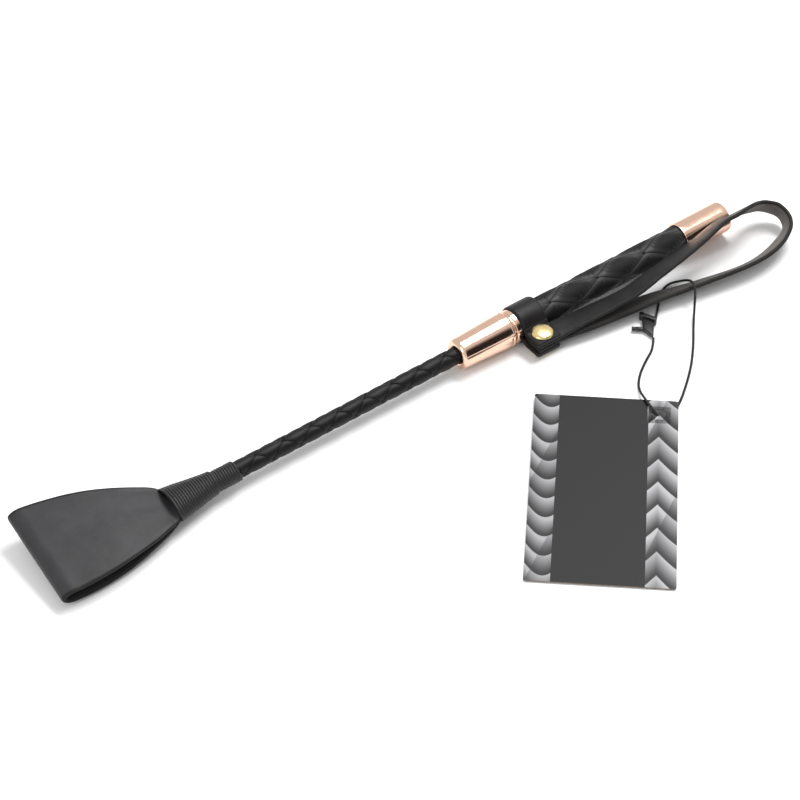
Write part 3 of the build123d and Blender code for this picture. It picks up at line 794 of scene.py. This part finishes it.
def tag_card():
    """Card in columns and rows about the hole, its front printed in bands."""
    left, right = 7.0 - TAG_WIDTH, 7.0
    top, bottom = -7.4, TAG_HEIGHT - 7.4
    ring_half = 4.2
    columns = [left, left + 0.8, left + LEFT_BAND * 0.5, left + LEFT_BAND, left + 18, left + 27]
    columns += [right - RIGHT_BAND - 4, -ring_half, right - RIGHT_BAND, ring_half, right - 0.8, right]
    rows = [top, top + 0.8, -ring_half, ring_half, 14, 24, 34, 44, 54, 64, 74, bottom - 0.8, bottom]
    points, index = [], {}

    def corner(x, y):
        """Rounds the card's own corners."""
        radius = 0.8
        inner_x = min(max(x, left + radius), right - radius)
        inner_y = min(max(y, top + radius), bottom - radius)
        off = Vector((x - inner_x, y - inner_y))
        if off.length > radius:
            off = off.normalized() * radius
        return inner_x + off.x, inner_y + off.y

    def vertex(x, y, level):
        key = (round(x, 4), round(y, 4), level)
        if key not in index:
            index[key] = len(points)
            points.append(TAG_HOLE + tag_across * x + tag_down * y + tag_normal * (TAG_THICK * level))
        return index[key]

    faces, slots = [], []

    def band(x):
        if x < left + LEFT_BAND:
            return 1
        if x > right - RIGHT_BAND:
            return 2
        return 0

    for a, b in zip(columns, columns[1:]):
        for c, d in zip(rows, rows[1:]):
            if a == -ring_half and c == -ring_half:
                continue
            quad = [corner(a, c), corner(b, c), corner(b, d), corner(a, d)]
            faces.append([vertex(x, y, 1) for x, y in quad][::-1])
            slots.append(band((a + b) / 2))
            faces.append([vertex(x, y, 0) for x, y in quad])
            slots.append(0)
    # Round the hole: a ring of faces from the square to the circle.
    sides = 32
    square = []
    circle = []
    for j in range(sides):
        t = 2 * math.pi * j / sides
        cx, cy = math.cos(t), math.sin(t)
        grow = ring_half / max(abs(cx), abs(cy))
        square.append((cx * grow, cy * grow))
        circle.append((cx * TAG_HOLE_RADIUS, cy * TAG_HOLE_RADIUS))
    for j in range(sides):
        k = (j + 1) % sides
        front = [vertex(x, y, 1) for x, y in (square[j], square[k], circle[k], circle[j])]
        back = [vertex(x, y, 0) for x, y in (square[k], square[j], circle[j], circle[k])]
        faces += [front, back, [front[3], front[2], back[3], back[2]]]
        slots += [2, 0, 3]
    outline = [(x, top) for x in columns] + [(right, y) for y in rows[1:]]
    outline += [(x, bottom) for x in reversed(columns[:-1])]
    outline += [(left, y) for y in reversed(rows[1:-1])]
    outline = [corner(x, y) for x, y in outline]
    for j, (x, y) in enumerate(outline):
        nx, ny = outline[(j + 1) % len(outline)]
        faces.append([vertex(x, y, 1), vertex(nx, ny, 1), vertex(nx, ny, 0), vertex(x, y, 0)][::-1])
        slots.append(3)
    ink = (0.008, 0.008, 0.009)
    materials = [
        card_material("card_black", (0.005, 0.005, 0.005), 0.50),
        chevron_material("card_left_band", TAG_TURN, TAG_HOLE, ink, (0.30, 0.30, 0.31), 9.0, 0.20),
        chevron_material("card_right_band", TAG_TURN, TAG_HOLE, ink, (0.36, 0.36, 0.37), 11.0, 0.13),
        card_material("card_edge", (0.16, 0.12, 0.09), 0.7),
    ]
    return mesh_object("tag_card", points, faces, materials, slots, smooth=False)


add_piece(tag_card(), "tag", "card", "hang_tag")

# ---- tag string ---------------------------------------------------------------------------------
TABLE = -7.4
ON_TABLE = -6.85
STRING_ROUTE = [
    (-61.2, -31.8, -6.2),
    (-64.5, -35.5, ON_TABLE),
    (-70.5, -38.6, ON_TABLE),
    (-77.5, -43.0, ON_TABLE),
    (-82.8, -48.4, -6.6),
    (-85.6, -55.0, -4.6),
    (-87.0, -61.4, -4.4),
    (-86.9, -64.6, -6.1),
    (-84.0, -66.6, ON_TABLE),
    (-76.0, -63.6, ON_TABLE),
    (-68.5, -58.4, ON_TABLE),
    (-59.5, -51.3, ON_TABLE),
    (-51.5, -43.4, ON_TABLE),
    (-44.2, -35.0, -6.4),
    (-40.0, -30.4, -3.6),
    (-37.0, -27.0, 1.4),
    (-34.8, -22.8, 1.6),
    (-33.6, -18.2, -1.8),
    (-33.8, -14.6, -5.0),
    (-36.4, -12.0, -6.6),
    (-41.5, -13.2, ON_TABLE),
    (-47.5, -18.6, ON_TABLE),
    (-55.0, -25.4, -6.2),
]
STRING_DIAMETER = 0.001
# The string's plies, as shares of its radius, and its lay in millimetres.
PLY_RADIUS_SHARE, PLY_OFFSET_SHARE = 0.62, 0.46
TWIST_LENGTH = 3.1
STRING_STEP = 0.42


def route_curve(name):
    """The string's centre line, through the CAD's own control points."""
    curve = bpy.data.curves.new(name, "CURVE")
    curve.dimensions = "3D"
    curve.resolution_u = 24
    spline = curve.splines.new("NURBS")
    spline.points.add(len(STRING_ROUTE) - 1)
    for point, place in zip(spline.points, STRING_ROUTE):
        point.co = (*[c * MM for c in place], 1)
    spline.order_u = 3
    spline.use_endpoint_u = True
    made = bpy.data.objects.new(name, curve)
    bpy.context.scene.collection.objects.link(made)
    return made


def spline_points(made):
    bpy.context.view_layer.update()
    mesh = bpy.data.meshes.new_from_object(made.evaluated_get(bpy.context.evaluated_depsgraph_get()))
    points = [v.co.copy() / MM for v in mesh.vertices]
    bpy.data.meshes.remove(mesh)
    return points


def even_points(points, gap):
    """The same line, walked in even steps."""
    out = [points[0]]
    carry = 0.0
    for a, b in zip(points, points[1:]):
        run = (b - a).length
        walked = gap - carry
        while walked <= run:
            out.append(a.lerp(b, walked / run))
            walked += gap
        carry = run - (walked - gap)
    out.append(points[-1])
    return out


def twisted_string(points):
    """Three plies laid up round the route."""
    radius = STRING_DIAMETER / MM / 2
    ply_radius = radius * PLY_RADIUS_SHARE
    offset = radius * PLY_OFFSET_SHARE
    sides = 7
    mesh_points, faces = [], []
    walked = [0.0]
    for a, b in zip(points, points[1:]):
        walked.append(walked[-1] + (b - a).length)
    last = len(points) - 1
    tangent = [(points[min(i + 1, last)] - points[max(i - 1, 0)]).normalized() for i in range(last + 1)]
    side = tangent[0].orthogonal().normalized()
    frames = []
    for t in tangent:
        side = (side - t * side.dot(t)).normalized()
        frames.append((side.copy(), t.cross(side)))
    for ply in range(3):
        first = len(mesh_points)
        for i, (p, (u, v)) in enumerate(zip(points, frames)):
            a = 2 * math.pi * (walked[i] / TWIST_LENGTH + ply / 3)
            out = u * math.cos(a) + v * math.sin(a)
            beside = tangent[i].cross(out)
            middle = p + out * offset
            for j in range(sides):
                t = 2 * math.pi * j / sides
                mesh_points.append(middle + (out * math.cos(t) + beside * math.sin(t)) * ply_radius)
        faces += tube_faces(len(points), sides, first)
    return mesh_object("tag_string_cord", mesh_points, faces, [CORD])


route = route_curve("string_route")
centreline = spline_points(route)
string_piece = twisted_string(even_points(centreline, STRING_STEP))
bpy.data.objects.remove(route)
add_piece(string_piece, "strap", "string", "tag_string")

# ---- string lock --------------------------------------------------------------------------------
LOCK_FOOT = TABLE + 0.25
PLATE_HEIGHT, RIB_HEIGHT, RIB_RADIUS = 2.2, 3.2, 0.85
LOCK_CORNERS = [(-57.6, -20.4), (-55.4, -25.5), (-61.2, -31.6), (-61.8, -26.4)]


def prism(name, outline, low, high, mat, soften):
    """An upright block with bevelled edges."""
    count = len(outline)
    points = [(x, y, low) for x, y in outline] + [(x, y, high) for x, y in outline]
    faces = [tuple(reversed(range(count))), tuple(range(count, 2 * count))]
    faces += [(j, (j + 1) % count, count + (j + 1) % count, count + j) for j in range(count)]
    piece = mesh_object(name, points, faces, [mat])
    bevel = piece.modifiers.new("soft_edges", "BEVEL")
    bevel.width = soften * MM
    bevel.segments = 4
    bevel.limit_method = "ANGLE"
    bpy.context.view_layer.update()
    final = bpy.data.meshes.new_from_object(piece.evaluated_get(bpy.context.evaluated_depsgraph_get()))
    piece.modifiers.clear()
    piece.data = final
    return piece


plate = prism("lock_plate", LOCK_CORNERS[::-1], LOCK_FOOT, LOCK_FOOT + PLATE_HEIGHT, PLASTIC, 0.55)
add_piece(plate, "strap", "lock_plastic", "string_lock")
rib_ends = [Vector((*LOCK_CORNERS[0], 0)), Vector((*LOCK_CORNERS[1], 0))]
rib_way = (rib_ends[1] - rib_ends[0]).normalized()
rib_side = Vector((-rib_way.y, rib_way.x, 0))
rib_outline = []
for end, way in ((rib_ends[0], -1), (rib_ends[1], 1)):
    for k in range(7):
        a = math.pi * (k / 6 - 0.5)
        p = end + (rib_way * math.cos(a) + rib_side * math.sin(a)) * way * RIB_RADIUS
        rib_outline.append((p.x, p.y))
rib = prism("lock_rib", rib_outline, LOCK_FOOT, LOCK_FOOT + RIB_HEIGHT, PLASTIC, 0.3)
add_piece(rib, "strap", "lock_plastic")
peg_profile = [(0, 0.55), (0.05, 0.8), (0.3, 0.9), (3.2, 0.9), (3.45, 0.72)]
peg_profile += [(3.7, 0.9), (4.3, 0.9), (4.55, 0.8), (4.6, 0.5)]
peg = lathe("lock_peg_turned", peg_profile, (-61.2, -26.2, LOCK_FOOT + 1.2), (-2.6, 2.2, 0), 24, PLASTIC)
add_piece(peg, "strap", "lock_plastic", "lock_peg")

[[c * MM for c in p] for p in even_points(centreline, 1.0)]


# ---- camera, floor and light --------------------------------------------------------------------
AIM = Vector((-160.5, -6.3, 0)) * MM
AZIMUTH, ELEVATION = math.radians(-36.73), math.radians(45)
DISTANCE = 0.982
LENS, SENSOR = 122, 36
FLOOR_REACH = 4.0
level = math.cos(ELEVATION)
back = Vector((math.sin(AZIMUTH) * level, -math.cos(AZIMUTH) * level, math.sin(ELEVATION)))
camera_data = bpy.data.cameras.new("camera")
camera_data.lens = LENS
camera_data.sensor_width = SENSOR
camera = bpy.data.objects.new("camera", camera_data)
camera.location = AIM + back * DISTANCE
camera.rotation_euler = (-back).to_track_quat("-Z", "Y").to_euler()
bpy.context.scene.collection.objects.link(camera)
bpy.context.scene.camera = camera

floor_mesh = bpy.data.meshes.new("floor")
floor_signs = ((-1, -1), (1, -1), (1, 1), (-1, 1))
floor_corners = [(x * FLOOR_REACH, y * FLOOR_REACH, TABLE * MM) for x, y in floor_signs]
floor_mesh.from_pydata(floor_corners, [], [(0, 1, 2, 3)])
floor = bpy.data.objects.new("floor", floor_mesh)
bpy.context.scene.collection.objects.link(floor)
floor_material, floor_tree, floor_shader = new_material("floor_white")
floor_shader.inputs["Base Color"].default_value = (0.90, 0.90, 0.90, 1)
floor_shader.inputs["Roughness"].default_value = 0.9
floor_mesh.materials.append(floor_material)


def area_light(name, place, aim, size, power):
    data = bpy.data.lights.new(name, "AREA")
    data.shape = "RECTANGLE"
    data.size, data.size_y = size
    data.energy = power
    lamp = bpy.data.objects.new(name, data)
    lamp.location = place
    lamp.rotation_euler = (Vector(place) - Vector(aim)).to_track_quat("Z", "Y").to_euler()
    bpy.context.scene.collection.objects.link(lamp)


area_light("overhead_softbox", (0.38, 0.10, 1.15), AIM, (0.75, 0.40), 15)
area_light("left_softbox", (-1.3, -0.3, 0.85), AIM, (0.6, 0.9), 5)

# The room: pale all round but for one dim patch, which gives the metal its dark line.
ROOM_STRENGTH = 0.82
DIM_DIRECTION = (0.40, -0.86, 0.30)
world = bpy.data.worlds.new("studio")
world.use_nodes = True
room = world.node_tree
room_direction = node(room, "ShaderNodeTexCoord")
room_dark = node(room, "ShaderNodeVectorMath", operation="DOT_PRODUCT")
room_dark.inputs[1].default_value = Vector(DIM_DIRECTION).normalized()
room_range = node(
    room,
    "ShaderNodeMapRange",
    {"From Min": 0.80, "From Max": 0.97, "To Min": 1.0, "To Max": 0.03},
    interpolation_type="SMOOTHSTEP",
)
room_strength = node(room, "ShaderNodeMath", operation="MULTIPLY")
room_strength.inputs[1].default_value = ROOM_STRENGTH
room.links.new(room_direction.outputs["Generated"], room_dark.inputs[0])
room.links.new(room_dark.outputs["Value"], room_range.inputs["Value"])
room.links.new(room_range.outputs["Result"], room_strength.inputs[0])
room.links.new(room_strength.outputs[0], room.nodes["Background"].inputs["Strength"])
room.nodes["Background"].inputs["Color"].default_value = (1, 1, 1, 1)
bpy.context.scene.world = world
bpy.context.scene.view_settings.view_transform = "Standard"
